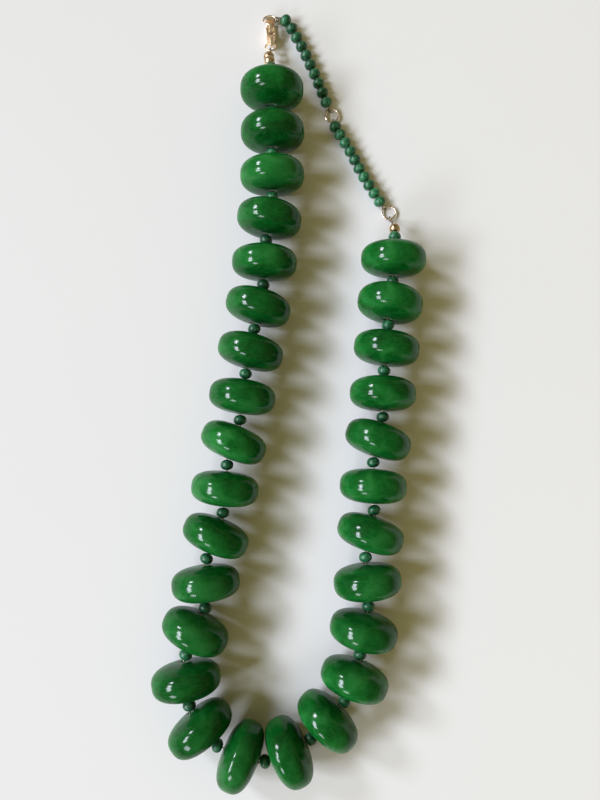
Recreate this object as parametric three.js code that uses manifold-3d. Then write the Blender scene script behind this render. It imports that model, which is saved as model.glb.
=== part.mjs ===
// Beaded necklace lying on a surface: 28 large green stone beads with a small green bead in each gap,
// a lobster clasp at one end, and an extender of small green beads between jump rings at the other.
// Millimetres, +Z up. The origin is under the middle of the whole necklace, on the surface it lies on.
import * as THREE from "three";
import { mergeVertices } from "three/addons/utils/BufferGeometryUtils.js";
import Module from "manifold-3d";

const wasm = await Module();
wasm.setup();

// Large beads
const beadCount = 28;
const beadDiameter = 20;
const beadThickness = 10.4;
const beadRoundness = 2.7;
const beadBore = 1.2;

// Small green beads, used between the large beads and along the extender
const smallDiameter = 3.9;
const smallLength = 3.1;
const smallRoundness = 2.15;

// Gold beads at the ends of the string
const goldDiameter = 3.5;
const goldLength = 3.3;
const goldBore = 1.0;

// Stringing wire, and the play between neighbours that are threaded on it
const wireDiameter = 0.4;
const stringPlay = 0.25;
const rimPlay = 0.1;
const eyePlay = 0.1;
const wireJoint = 0.3;

// Jump rings of the extender, the small ring behind the clasp, and the play where wires link. The ring in
// the claw sits short of its end, and below its middle by a share of the hollow's height
const ringDiameter = 5.0;
const ringWire = 0.64;
const claspRingDiameter = 4.2;
const claspRingWire = 0.6;
const linkPlay = 0.2;
const ringSeatPlay = 0.56;
const ringSeatDrop = 1 / 12;

// Lobster clasp: the claw, the lug at its tail, and the lever that closes it
const claspLength = 10.2;
const claspHeight = 4.6;
const claspThickness = 3.2;
const noseThickness = 1.9;
const clawWall = 1.1;
const clawHeel = 0.8;
const clawHeelShare = 0.7;
const clawNoseBack = 3.0;
const clawNoseTop = 2.1;
const gateLength = 2.4;
const slotWall = 0.6;
const lugThickness = 1.0;
const lugWall = 0.55;
const lugRoot = 0.5;
const lugHeight = 2.4;
const leverThickness = 1.0;
const leverArm = 0.9;
const leverRoot = 0.9;
const armAbovePivot = 0.7;
const thumbNub = 0.7;
const thumbNubShare = 0.4;
const leverPlay = 0.3;
const pinDiameter = 0.8;
const pinPlay = 0.1;

// Fineness of the round pieces
const beadSides = 16;
const beadBands = 6;
const smallSides = 8;
const smallBands = 4;
const goldSides = 12;
const goldBands = 6;
const wireSides = 6;
const ringSides = 6;
const ringSteps = 16;
const curveSteps = 6;
const walkStep = 0.02;
const walkStart = 0.9;
const tangentStep = 2;
const tangentReach = 60;
const weldDistance = 1e-4;

// How far a shape that cuts or trims runs past what it works on
const overcut = 0.1;

// Middle line of the string of large beads, from the clasp end round to the extender end. A longer or
// shorter string spreads or shrinks this route, and with it every other place chosen on the surface
const loopRoute = [
  [-6.7, 89.6], [-6.5, 61.5], [-8.8, 33.4], [-13.0, 5.2], [-17.8, -22.0], [-22.8, -49.6],
  [-28.4, -77.0], [-30.8, -91.0], [-26.4, -104.0], [-14.8, -111.6], [-0.6, -110.4], [10.4, -101.6],
  [18.2, -89.8], [22.0, -63.2], [24.0, -35.0], [27.2, -7.2], [31.03, 34.93],
];

// Wire from the first bead down to the clasp, and from the last bead down to the extender, with each
// height as a share of the string's: the bore's mouth is added in front, and the link's eye behind
const claspLead = [[-7.1, 98.2, 0.87], [-7.6, 101.2, 0.68], [-7.9, 103.8, 0.48]];
const extenderLead = [[31.8, 42.6, 0.84], [32.2, 46.2, 0.58], [31.9, 49.2, 0.28]];

// Bare wire beside the eye at the clasp, and before the small bead and the gold bead at the extender
const claspBareWire = 0.7;
const extenderBareWire = 1.3;
const extenderBeadGap = 1.35;

// Extender: the middle of two of its jump rings, the points that each strand passes through, how far
// its wires hold the small beads off the surface, and the bare wire in front of a strand's first bead
const middleRingCentre = [12.8, 86.0];
const endRingCentre = [31.1, 53.2];
const firstStrandRoute = [[-3.0, 118.7], [2.3, 110.2], [6.3, 101.5], [8.9, 95.2], [10.9, 89.9]];
const secondStrandRoute = [[13.8, 81.6], [18.6, 73.4], [22.5, 65.6], [28.0, 56.5]];
const strandLift = 0.15;
const firstStrandBeads = 10;
const secondStrandBeads = 10;
const firstStrandBareWire = 0.9;
const secondStrandBareWire = 0;

// Clasp, standing on its straight back: the end of its tail, and the heading from tail to nose
const claspTail = [-7.0, 108.8];
const claspHeading = 94;

// How each large bead stands on its rim: turn is its yaw off square to the string, and lean is how far
// its leading face points up, both in degrees
const beadStance = [
  { turn: 0, lean: 0 },
  { turn: 0, lean: 0 },
  { turn: 4, lean: -2 },
  { turn: -3, lean: 0 },
  { turn: 5, lean: -3 },
  { turn: -6, lean: 0 },
  { turn: -5, lean: 0 },
  { turn: 2, lean: 0 },
  { turn: -12, lean: 0 },
  { turn: 4, lean: -2 },
  { turn: -12, lean: 0 },
  { turn: 18, lean: 0 },
  { turn: -14, lean: -2 },
  { turn: 7, lean: 0 },
  { turn: 0, lean: 0 },
  { turn: -9, lean: 0 },
  { turn: 5, lean: 2 },
  { turn: 0, lean: 0 },
  { turn: 3, lean: 0 },
  { turn: -7, lean: 4 },
  { turn: 11, lean: 2 },
  { turn: -15, lean: 0 },
  { turn: 2, lean: 0 },
  { turn: -12, lean: 0 },
  { turn: 3, lean: -2 },
  { turn: -2, lean: 0 },
  { turn: -5, lean: -6 },
  { turn: 3, lean: 2 },
];

// Large beads whose bores hold a joint of the stringing wire
const jointBeads = [4, 8, 12, 16, 20, 24];

const green = new THREE.MeshStandardMaterial({ color: 0x1c5a24, roughness: 0.12, metalness: 0 });
const smallGreen = new THREE.MeshStandardMaterial({ color: 0x2c6a42, roughness: 0.3, metalness: 0 });
const gold = new THREE.MeshStandardMaterial({ color: 0xd9a75c, roughness: 0.22, metalness: 1 });

const up = new THREE.Vector3(0, 0, 1);
const radians = THREE.MathUtils.degToRad;
const beadPitch = beadThickness + smallLength + 2 * stringPlay;
const stringHeight = beadDiameter / 2;
const strandHeight = smallDiameter / 2 + strandLift;
const eyeRadius = (ringWire + wireDiameter) / 2 + linkPlay;
const ringHeight = eyeRadius + wireDiameter / 2;
const ringRadius = (ringDiameter - ringWire) / 2;
const claspRingRadius = (claspRingDiameter - claspRingWire) / 2;
const firstBeadReach = ringHeight + eyePlay + smallLength / 2;
const extenderSmallBeadAlong = extenderBareWire + smallLength / 2;
const extenderGoldBeadAlong = extenderSmallBeadAlong + smallLength / 2 + extenderBeadGap + goldLength / 2;

// Places along the clasp, counted from the end of its tail
const lugHole = claspRingWire / 2 + 2 * linkPlay;
const lugRadius = lugHole + lugWall;
const clawStart = lugRadius + lugHole + lugRoot;
const pivotAlong = clawStart + slotWall + leverPlay + leverRoot;
const pivotHeight = claspHeight - leverArm - armAbovePivot;
const cavityStart = pivotAlong + leverRoot + leverPlay;
const cavityEnd = claspLength - clawWall;
const gateEnd = cavityStart + gateLength;
const ringSeatAlong = cavityEnd - ringWire / 2 - ringSeatPlay;
const cavityHeight = claspHeight - 2 * clawWall;
const ringSeatHeight = claspHeight / 2 - ringSeatDrop * cavityHeight;

// Geometry with only merged positions, as a solid for joining and cutting
function solidOf(geometry) {
  const bare = geometry.clone();
  bare.deleteAttribute("normal");
  bare.deleteAttribute("uv");
  const merged = mergeVertices(bare, weldDistance);
  const vertProperties = new Float32Array(merged.attributes.position.array);
  const triVerts = new Uint32Array(merged.index.array);
  return new wasm.Manifold(new wasm.Mesh({ numProp: 3, vertProperties, triVerts }));
}

function geometryOf(solid) {
  const mesh = solid.getMesh();
  const geometry = new THREE.BufferGeometry();
  geometry.setAttribute("position", new THREE.BufferAttribute(mesh.vertProperties, 3));
  geometry.setIndex(new THREE.BufferAttribute(mesh.triVerts, 1));
  return geometry;
}

function union(geometries) {
  const solids = geometries.map(solidOf);
  return solids.slice(1).reduce((whole, piece) => whole.add(piece), solids[0]);
}

// Superellipse half profile of a bead, from its front pole to its back pole
function beadOutline(diameter, length, roundness, bands) {
  const outline = [];
  for (let band = 0; band <= bands; band += 1) {
    const angle = (Math.PI * band) / bands;
    const across = Math.sin(angle) ** (2 / roundness);
    const along = Math.sign(Math.cos(angle)) * Math.abs(Math.cos(angle)) ** (2 / roundness);
    outline.push(new THREE.Vector2((diameter / 2) * across, (length / 2) * along));
  }
  return outline;
}

// Bead of revolution round +Y with a round bore along its axis
function boredBead(diameter, length, roundness, bore, sides, bands) {
  const outline = beadOutline(diameter, length, roundness, bands).slice(1, -1);
  const mouth = length / 2 * (1 - (bore / diameter) ** roundness) ** (1 / roundness);
  outline.unshift(new THREE.Vector2(bore / 2, mouth));
  outline.push(new THREE.Vector2(bore / 2, -mouth));
  outline.push(outline[0].clone());
  return new THREE.LatheGeometry(outline.reverse(), sides);
}

// Small bead that is one solid with the wire through it
function threadedBead() {
  const outline = beadOutline(smallDiameter, smallLength, smallRoundness, smallBands);
  outline[0].x = 0;
  outline[smallBands].x = 0;
  return new THREE.LatheGeometry(outline.reverse(), smallSides);
}

// Turns geometry made round +Y to run along a direction, and moves it to a place
function aim(geometry, direction, place) {
  const turn = new THREE.Quaternion().setFromUnitVectors(new THREE.Vector3(0, 1, 0), direction);
  return geometry.applyQuaternion(turn).translate(place.x, place.y, place.z);
}

// Path through given points with a straight run between each pair
class KinkedPath extends THREE.Curve {
  constructor(points) {
    super();
    this.points = points;
  }

  getPoint(t, target = new THREE.Vector3()) {
    const place = t * (this.points.length - 1);
    const index = Math.min(Math.max(Math.floor(place), 0), this.points.length - 2);
    return target.lerpVectors(this.points[index], this.points[index + 1], place - index);
  }

  getUtoTmapping(u) {
    return u;
  }
}

function roundSection(radius, sides) {
  const corners = [];
  for (let side = 0; side < sides; side += 1) {
    const angle = (2 * Math.PI * side) / sides;
    corners.push(new THREE.Vector2(radius * Math.cos(angle), radius * Math.sin(angle)));
  }
  return new THREE.Shape(corners);
}

function wireAlong(points) {
  return new THREE.ExtrudeGeometry(roundSection(wireDiameter / 2, wireSides), {
    steps: points.length - 1,
    extrudePath: new KinkedPath(points),
  });
}

// Ring of round wire: its middle, the direction of its axis, its middle radius and its wire
function wireRing(centre, axis, radius, wire) {
  const ring = new THREE.TorusGeometry(radius, wire / 2, ringSides, ringSteps);
  const turn = new THREE.Quaternion().setFromUnitVectors(up, axis);
  return ring.applyQuaternion(turn).translate(centre.x, centre.y, centre.z);
}

// How far a large bead reaches in a direction that makes an angle with its axis, in degrees
function beadReach(angle) {
  const power = beadRoundness / (beadRoundness - 1);
  const rim = ((beadDiameter / 2) * Math.abs(Math.sin(radians(angle)))) ** power;
  const face = ((beadThickness / 2) * Math.abs(Math.cos(radians(angle)))) ** power;
  return (rim + face) ** (1 / power);
}

// Least distance between the middles of two large beads whose rims clear each other, from the angles of
// their axes with the line between them: the best dividing plane between the two decides it
function clearPitch(firstAngle, secondAngle) {
  let least = Infinity;
  for (let tilt = -tangentReach; tilt <= tangentReach; tilt += tangentStep) {
    const reach = beadReach(tilt - firstAngle) + beadReach(tilt - secondAngle) + rimPlay;
    least = Math.min(least, reach / Math.cos(radians(tilt)));
  }
  return least;
}

// Point at a distance along a curve, straight on where the curve has ended
function pointAlong(curve, distance) {
  const length = curve.getLength();
  const point = curve.getPointAt(Math.min(distance / length, 1));
  return point.addScaledVector(curve.getTangentAt(1), Math.max(distance - length, 0));
}

// Level axis of a large bead at a distance along the string
function levelAxis(route, distance, index) {
  const tangent = route.getTangentAt(Math.min(distance / route.getLength(), 1));
  return tangent.applyAxisAngle(up, radians(beadStance[index].turn));
}

function angleBetween(axis, line) {
  const cross = new THREE.Vector3().crossVectors(line, axis).z;
  return THREE.MathUtils.radToDeg(Math.atan2(cross, line.dot(axis)));
}

// Distances of the large beads along the string: each is a straight pitch away from the one before, and
// further where the string bends too much for their rims
function beadDistances(route) {
  const distances = [0];
  while (distances.length < beadCount) {
    const index = distances.length;
    const from = pointAlong(route, distances.at(-1));
    const fromAxis = levelAxis(route, distances.at(-1), index - 1);
    let distance = distances.at(-1) + walkStart * beadPitch;
    let clear = false;
    while (!clear) {
      distance += walkStep;
      const line = pointAlong(route, distance).sub(from);
      const axis = levelAxis(route, distance, index);
      const needed = clearPitch(angleBetween(fromAxis, line), angleBetween(axis, line));
      clear = line.length() >= Math.max(beadPitch, needed);
    }
    distances.push(distance);
  }
  return distances;
}

function loopCurve(scale) {
  const points = loopRoute.map(([x, y]) => new THREE.Vector3(scale * x, scale * y, stringHeight));
  return new THREE.CatmullRomCurve3(points, false, "centripetal");
}

const chosenLoop = loopCurve(1);
const layoutScale = beadDistances(chosenLoop).at(-1) / chosenLoop.getLength();

// Place chosen on the surface, at a height
function onPlan([x, y], height) {
  return new THREE.Vector3(layoutScale * x, layoutScale * y, height);
}

// Places of the large beads along the middle line, each with its own stance
function placeBeads() {
  const route = loopCurve(layoutScale);
  return beadDistances(route).map((distance, index) => {
    const { lean } = beadStance[index];
    const centre = pointAlong(route, distance);
    centre.z = beadReach(90 - lean);
    const axis = levelAxis(route, distance, index);
    const side = new THREE.Vector3().crossVectors(axis, up).normalize();
    axis.applyAxisAngle(side, radians(lean)).normalize();
    const reach = axis.clone().multiplyScalar(beadThickness / 2);
    return { centre, axis, entry: centre.clone().sub(reach), exit: centre.clone().add(reach) };
  });
}

function largeBead({ centre, axis }) {
  const bead = boredBead(
    beadDiameter, beadThickness, beadRoundness, beadBore, beadSides, beadBands);
  // One corner of the rim points straight down, so the bead stands on it
  const across = new THREE.Vector3().crossVectors(axis, up).normalize();
  const rise = new THREE.Vector3().crossVectors(across, axis);
  const stance = new THREE.Matrix4().makeBasis(across, axis, rise);
  return bead.applyMatrix4(stance).translate(centre.x, centre.y, centre.z);
}

// Bead on a wire: its middle and the direction of its bore, at a distance along the wire
function stationOn(wire, distance) {
  const share = distance / wire.getLength();
  return { centre: wire.getPointAt(share), axis: wire.getTangentAt(share) };
}

function endsOf({ centre, axis }, length) {
  return [-length / 2, length / 2].map((along) => centre.clone().addScaledVector(axis, along));
}

function leadPoint([x, y, heightShare]) {
  return onPlan([x, y], heightShare * stringHeight);
}

function leadCurve(mouth, points, eye) {
  return new THREE.CatmullRomCurve3([mouth, ...points.map(leadPoint), eye], false, "centripetal");
}

// Where a wire that comes from a given point meets the rim of its eye
function eyeRim({ centre, axis }, from) {
  const outward = from.clone().sub(centre).projectOnPlane(axis).normalize();
  return centre.clone().addScaledVector(outward, eyeRadius);
}

// One stretch of the string: wire through given points, with its small beads and end eyes
function threadedStretch(wirePoints, beads, eyes) {
  const pieces = [wireAlong(wirePoints)];
  beads.forEach(({ centre, axis }) => pieces.push(aim(threadedBead(), axis, centre)));
  eyes.forEach(({ centre, axis }) => pieces.push(wireRing(centre, axis, eyeRadius, wireDiameter)));
  return geometryOf(union(pieces));
}

// Small bead midway between the bores of two large beads
function beadBetween(before, after) {
  const axis = after.entry.clone().sub(before.exit).normalize();
  return { centre: before.exit.clone().lerp(after.entry, 0.5), axis };
}

// Where a stretch of wire starts or stops inside the bore of a large bead
function jointIn({ centre, axis }, side) {
  return centre.clone().addScaledVector(axis, (side * wireJoint) / 2);
}

// Place and direction of the link on a level ring that faces a given point
function linkOn(centre, facing) {
  const outward = facing.clone().sub(centre).setZ(0).normalize();
  return {
    centre: centre.clone().addScaledVector(outward, ringRadius),
    axis: new THREE.Vector3().crossVectors(up, outward),
  };
}

// Strand of the extender: small beads evenly spaced on a curve from one eye to the other
function extenderStrand(firstEye, route, lastEye, count, bareWire) {
  const curve = new THREE.CatmullRomCurve3(
    [firstEye.centre, ...route, lastEye.centre], false, "centripetal");
  const start = firstBeadReach + bareWire;
  const step = (curve.getLength() - start - firstBeadReach) / (count - 1);
  const beads = [];
  for (let index = 0; index < count; index += 1) {
    beads.push(stationOn(curve, start + index * step));
  }
  const wirePoints = beads.flatMap((bead) => endsOf(bead, smallLength));
  wirePoints.unshift(eyeRim(firstEye, wirePoints[0]));
  wirePoints.push(eyeRim(lastEye, wirePoints.at(-1)));
  return threadedStretch(wirePoints, beads, [firstEye, lastEye]);
}

// Extrusion of a side view of the clasp, centred on its thickness: +X tail to nose, +Y up
function slab(shape, thickness) {
  const settings = { depth: thickness, bevelEnabled: false, curveSegments: curveSteps };
  return new THREE.ExtrudeGeometry(shape, settings).translate(0, 0, -thickness / 2);
}

function block(fromAlong, toAlong, fromHeight, toHeight, thickness) {
  const box = new THREE.BoxGeometry(toAlong - fromAlong, toHeight - fromHeight, thickness);
  return box.translate((fromAlong + toAlong) / 2, (fromHeight + toHeight) / 2, 0);
}

function clawOutline(inset) {
  const start = clawStart + inset;
  const end = claspLength - inset;
  const low = inset;
  const high = claspHeight - inset;
  const middle = claspHeight / 2;
  const outline = new THREE.Path();
  outline.moveTo(start, middle);
  outline.quadraticCurveTo(start, low, start + clawHeel, low);
  outline.lineTo(claspLength - clawNoseBack, low);
  outline.quadraticCurveTo(end, low, end, middle);
  outline.quadraticCurveTo(end, high, claspLength - clawNoseTop, high);
  outline.lineTo(start + clawHeel, high);
  outline.quadraticCurveTo(start, high, start, middle);
  return outline;
}

// Claw seen from above: full width at the lever, slimmer at the nose
function clawPlan() {
  const side = claspThickness / 2;
  const nose = noseThickness / 2;
  const plan = new THREE.Shape();
  plan.moveTo(clawStart - overcut, -clawHeelShare * side);
  plan.quadraticCurveTo(clawStart, -side, pivotAlong, -side);
  plan.quadraticCurveTo(gateEnd, -side, cavityEnd, -nose);
  plan.quadraticCurveTo(claspLength, -nose, claspLength + overcut, 0);
  plan.quadraticCurveTo(claspLength, nose, cavityEnd, nose);
  plan.quadraticCurveTo(gateEnd, side, pivotAlong, side);
  plan.quadraticCurveTo(clawStart, side, clawStart - overcut, clawHeelShare * side);
  plan.closePath();
  const tall = slab(plan, 3 * claspHeight);
  return tall.rotateX(Math.PI / 2);
}

function claspBody() {
  const claw = slab(new THREE.Shape(clawOutline(0).getPoints(curveSteps)), claspThickness);
  const cavity = slab(new THREE.Shape(clawOutline(clawWall).getPoints(curveSteps)), 2 * claspThickness);
  const cavityFront = block(cavityStart, claspLength, 0, claspHeight, 2 * claspThickness);
  const gate = block(cavityStart, gateEnd, claspHeight / 2, 2 * claspHeight, 2 * claspThickness);
  const slot = block(
    clawStart + slotWall, cavityStart + overcut,
    pivotHeight - leverRoot - leverPlay, 2 * claspHeight, leverThickness + 2 * leverPlay);
  const pin = new THREE.CylinderGeometry(
    pinDiameter / 2, pinDiameter / 2, claspThickness - leverPlay, goldSides);
  pin.rotateX(Math.PI / 2).translate(pivotAlong, pivotHeight, 0);
  const lug = new THREE.Shape();
  lug.absarc(lugRadius, lugHeight, lugRadius, Math.PI / 2, (3 * Math.PI) / 2);
  lug.lineTo(clawStart + slotWall / 2, lugHeight - lugRadius);
  lug.lineTo(clawStart + slotWall / 2, lugHeight + lugRadius);
  lug.closePath();
  const eye = new THREE.Path();
  eye.absarc(lugRadius, lugHeight, lugHole, 0, 2 * Math.PI, true);
  lug.holes.push(eye);
  return solidOf(claw)
    .intersect(solidOf(clawPlan()))
    .subtract(solidOf(cavity).intersect(solidOf(cavityFront)))
    .subtract(solidOf(gate))
    .subtract(solidOf(slot))
    .add(solidOf(pin))
    .add(solidOf(slab(lug, lugThickness)));
}

// Lever on its pivot: a round root, a straight arm that closes the gate, and a nub for the thumb
function claspLever() {
  const reach = gateEnd - leverPlay - pivotAlong;
  const top = claspHeight - pivotHeight;
  const low = top - leverArm;
  const outline = new THREE.Shape();
  outline.absarc(0, 0, leverRoot, Math.PI, 2 * Math.PI + Math.asin(low / leverRoot));
  outline.absarc(0, 0, reach, Math.asin(low / reach), Math.asin(top / reach));
  outline.lineTo(leverRoot, top);
  outline.quadraticCurveTo(thumbNubShare * leverRoot, top, 0, top + thumbNub);
  outline.quadraticCurveTo(-leverRoot, top + thumbNub, -leverRoot, 0);
  const hole = new THREE.CylinderGeometry(
    pinDiameter / 2 + pinPlay, pinDiameter / 2 + pinPlay, 2 * leverThickness, goldSides);
  hole.rotateX(Math.PI / 2);
  return solidOf(slab(outline, leverThickness)).subtract(solidOf(hole));
}

const gathered = new THREE.Group();

function addPiece(name, geometry, material) {
  const piece = new THREE.Mesh(geometry, material);
  piece.name = name;
  gathered.add(piece);
  return piece;
}

// Large beads
const beads = placeBeads();
beads.forEach((bead, index) => {
  addPiece(`bead_${String(index + 1).padStart(2, "0")}`, largeBead(bead), green);
});

// Clasp, with the small ring at its tail and the extender's last ring in its claw
const heading = new THREE.Vector3(
  Math.cos(radians(claspHeading)), Math.sin(radians(claspHeading)), 0);
const claspSide = new THREE.Vector3().crossVectors(heading, up);
const claspFrame = new THREE.Matrix4().makeBasis(heading, up, claspSide);
claspFrame.setPosition(onPlan(claspTail, 0));
const clasp = new THREE.Group();
clasp.applyMatrix4(claspFrame);
gathered.add(clasp);
const claw = new THREE.Mesh(geometryOf(claspBody()), gold);
claw.name = "clasp_body";
const lever = new THREE.Mesh(geometryOf(claspLever()), gold);
lever.name = "clasp_lever";
lever.position.set(pivotAlong, pivotHeight, 0);
clasp.add(claw, lever);

const lugEye = new THREE.Vector3(lugRadius, lugHeight, 0).applyMatrix4(claspFrame);
const towardString = leadPoint(claspLead.at(-1)).sub(lugEye).normalize();
const claspRingAxis = new THREE.Vector3().crossVectors(claspSide, towardString).normalize();
const claspRingCentre = lugEye.clone().addScaledVector(towardString, claspRingRadius);
addPiece("clasp_ring", wireRing(claspRingCentre, claspRingAxis, claspRingRadius, claspRingWire), gold);

const ringSeat = new THREE.Vector3(ringSeatAlong, ringSeatHeight, 0).applyMatrix4(claspFrame);
const ringTilt = Math.asin((ringSeatHeight - ringWire / 2) / (2 * ringRadius));
const ringFall = heading.clone().applyAxisAngle(claspSide, -ringTilt);
const lastRingCentre = ringSeat.clone().addScaledVector(ringFall, ringRadius);
const lastRingAxis = new THREE.Vector3().crossVectors(claspSide, ringFall);
addPiece("extender_ring_1", wireRing(lastRingCentre, lastRingAxis, ringRadius, ringWire), gold);

// Extender
const middleRing = onPlan(middleRingCentre, ringHeight);
const endRing = onPlan(endRingCentre, ringHeight);
const firstRoute = firstStrandRoute.map((point) => onPlan(point, strandHeight));
const secondRoute = secondStrandRoute.map((point) => onPlan(point, strandHeight));
addPiece("extender_ring_2", wireRing(middleRing, up, ringRadius, ringWire), gold);
addPiece("extender_ring_3", wireRing(endRing, up, ringRadius, ringWire), gold);
const lastRingEye = {
  centre: lastRingCentre.clone().addScaledVector(claspSide, ringRadius),
  axis: ringFall,
};
addPiece("extender_strand_1", extenderStrand(
  lastRingEye, firstRoute, linkOn(middleRing, firstRoute.at(-1)),
  firstStrandBeads, firstStrandBareWire), smallGreen);
addPiece("extender_strand_2", extenderStrand(
  linkOn(middleRing, secondRoute[0]), secondRoute,
  linkOn(endRing, secondRoute.at(-1)), secondStrandBeads, secondStrandBareWire), smallGreen);

// Leads at both ends of the string, from the mouth of the last bore to the link
const claspEye = {
  centre: lugEye.clone().addScaledVector(towardString, 2 * claspRingRadius),
  axis: new THREE.Vector3().crossVectors(towardString, claspRingAxis),
};
const claspLeadCurve = leadCurve(beads[0].entry, claspLead, claspEye.centre);
const outerGoldAlong = claspLeadCurve.getLength() - eyeRadius - claspBareWire - goldLength / 2;
const innerGoldAlong = outerGoldAlong - goldLength - stringPlay;
const claspGold = [innerGoldAlong, outerGoldAlong].map((along) => stationOn(claspLeadCurve, along));
const claspSmall = stationOn(claspLeadCurve, (innerGoldAlong - goldLength / 2) / 2);

const extenderEye = linkOn(endRing, leadPoint(extenderLead.at(-1)));
const extenderLeadCurve = leadCurve(beads.at(-1).exit, extenderLead, extenderEye.centre);
const extenderSmall = stationOn(extenderLeadCurve, extenderSmallBeadAlong);
const extenderGold = stationOn(extenderLeadCurve, extenderGoldBeadAlong);

function goldBead({ centre, axis }) {
  const bead = boredBead(goldDiameter, goldLength, smallRoundness, goldBore, goldSides, goldBands);
  return aim(bead, axis, centre);
}

addPiece("gold_bead_1", goldBead(claspGold[1]), gold);
addPiece("gold_bead_2", goldBead(claspGold[0]), gold);
addPiece("gold_bead_3", goldBead(extenderGold), gold);

// String between the joints in the bores, with a small bead in each gap
const stretchStarts = [0, ...jointBeads.map((bead) => bead - 1)];
const stretchEnds = [...jointBeads.map((bead) => bead - 1), beadCount - 1];
stretchStarts.forEach((start, index) => {
  const end = stretchEnds[index];
  const wirePoints = [];
  const smallBeads = [];
  const eyes = [];
  if (index === 0) {
    wirePoints.push(eyeRim(claspEye, claspGold[1].centre));
    wirePoints.push(...endsOf(claspGold[1], goldLength).reverse());
    wirePoints.push(...endsOf(claspGold[0], goldLength).reverse());
    wirePoints.push(...endsOf(claspSmall, smallLength).reverse());
    wirePoints.push(beads[0].entry);
    smallBeads.push(claspSmall);
    eyes.push(claspEye);
  } else {
    wirePoints.push(jointIn(beads[start], 1));
  }
  for (let bead = start; bead < end; bead += 1) {
    wirePoints.push(beads[bead].exit, beads[bead + 1].entry);
    smallBeads.push(beadBetween(beads[bead], beads[bead + 1]));
  }
  if (end === beadCount - 1) {
    wirePoints.push(beads[end].exit);
    wirePoints.push(...endsOf(extenderSmall, smallLength));
    wirePoints.push(...endsOf(extenderGold, goldLength));
    wirePoints.push(eyeRim(extenderEye, extenderGold.centre));
    smallBeads.push(extenderSmall);
    eyes.push(extenderEye);
  } else {
    wirePoints.push(jointIn(beads[end], -1));
  }
  addPiece(`strand_${index + 1}`, threadedStretch(wirePoints, smallBeads, eyes), smallGreen);
});

// The origin is under the middle of everything, on the surface
const bounds = new THREE.Box3().setFromObject(gathered, true);
const middlePoint = bounds.getCenter(new THREE.Vector3());
gathered.position.set(-middlePoint.x, -middlePoint.y, -bounds.min.z);
const necklace = new THREE.Group();
necklace.add(gathered);
necklace.updateMatrixWorld(true);

export default necklace;
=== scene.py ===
import math

import bmesh
import bpy
import numpy as np
from mathutils import Matrix, Vector


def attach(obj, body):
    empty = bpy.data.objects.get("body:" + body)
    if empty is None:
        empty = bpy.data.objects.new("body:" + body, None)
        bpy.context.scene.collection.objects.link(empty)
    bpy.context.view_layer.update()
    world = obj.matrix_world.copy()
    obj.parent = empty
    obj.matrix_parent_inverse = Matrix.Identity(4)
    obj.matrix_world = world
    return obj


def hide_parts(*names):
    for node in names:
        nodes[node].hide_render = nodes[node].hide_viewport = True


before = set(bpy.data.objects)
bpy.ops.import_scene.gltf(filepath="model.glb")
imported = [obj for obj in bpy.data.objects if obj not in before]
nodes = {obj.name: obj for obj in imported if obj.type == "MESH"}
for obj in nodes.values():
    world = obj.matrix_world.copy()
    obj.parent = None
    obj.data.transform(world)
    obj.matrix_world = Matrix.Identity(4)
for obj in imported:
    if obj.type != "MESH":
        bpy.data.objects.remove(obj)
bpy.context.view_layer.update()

# A necklace of large green stone beads, with small beads between them, a lobster clasp and an extender.
# Its sizes are in millimetres up to the point where a mesh is made.
MM = 0.001
scene = bpy.context.scene

# Large green rondelles
BEAD_COUNT = 28
BEAD_DIAMETER = 20.0
BEAD_THICKNESS = 10.4
BEAD_ROUNDNESS = 2.7
BEAD_BORE = 1.2

# Small green beads
SMALL_DIAMETER = 3.9
SMALL_LENGTH = 3.1
SMALL_ROUNDNESS = 2.15
SMALL_BORE = 0.8
STRAND_COUNT = 7
EXTENDER_BEADS = (10, 10)
EXTENDER_GAPS = (0.9, 0.0)
EXTENDER_LIFT = 0.15
EYE_PLAY = 0.1

# Gold beads, rings and beading wire
GOLD_DIAMETER = 3.5
GOLD_LENGTH = 3.3
GOLD_BORE = 1.0
RING_DIAMETER = 5.0
RING_WIRE = 0.64
CLASP_RING_DIAMETER = 4.2
CLASP_RING_WIRE = 0.6
WIRE = 0.4
LINK_PLAY = 0.2
EYE_RADIUS = (RING_WIRE + WIRE) / 2 + LINK_PLAY
RING_HEIGHT = EYE_RADIUS + WIRE / 2
RING_RADIUS = (RING_DIAMETER - RING_WIRE) / 2
CLASP_RING_RADIUS = (CLASP_RING_DIAMETER - CLASP_RING_WIRE) / 2

# Chosen places on the surface, before the whole necklace is centred on its origin
MIDDLE_RING = (12.8, 86.0)
FIRST_ROUTE = ((-3.0, 118.7), (2.3, 110.2), (6.3, 101.5), (8.9, 95.2), (10.9, 89.9))
SECOND_ROUTE = ((13.8, 81.6), (18.6, 73.4), (22.5, 65.6), (28.0, 56.5))
CLASP_LEAD = ((-7.1, 98.2, 8.7), (-7.6, 101.2, 6.8), (-7.9, 103.8, 4.8))
EXTENDER_LEAD = ((31.8, 42.6, 8.4), (32.2, 46.2, 5.8), (31.9, 49.2, 2.8))
CLASP_TAIL = (-7.0, 108.8)
CLASP_HEADING = math.radians(94)

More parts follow.
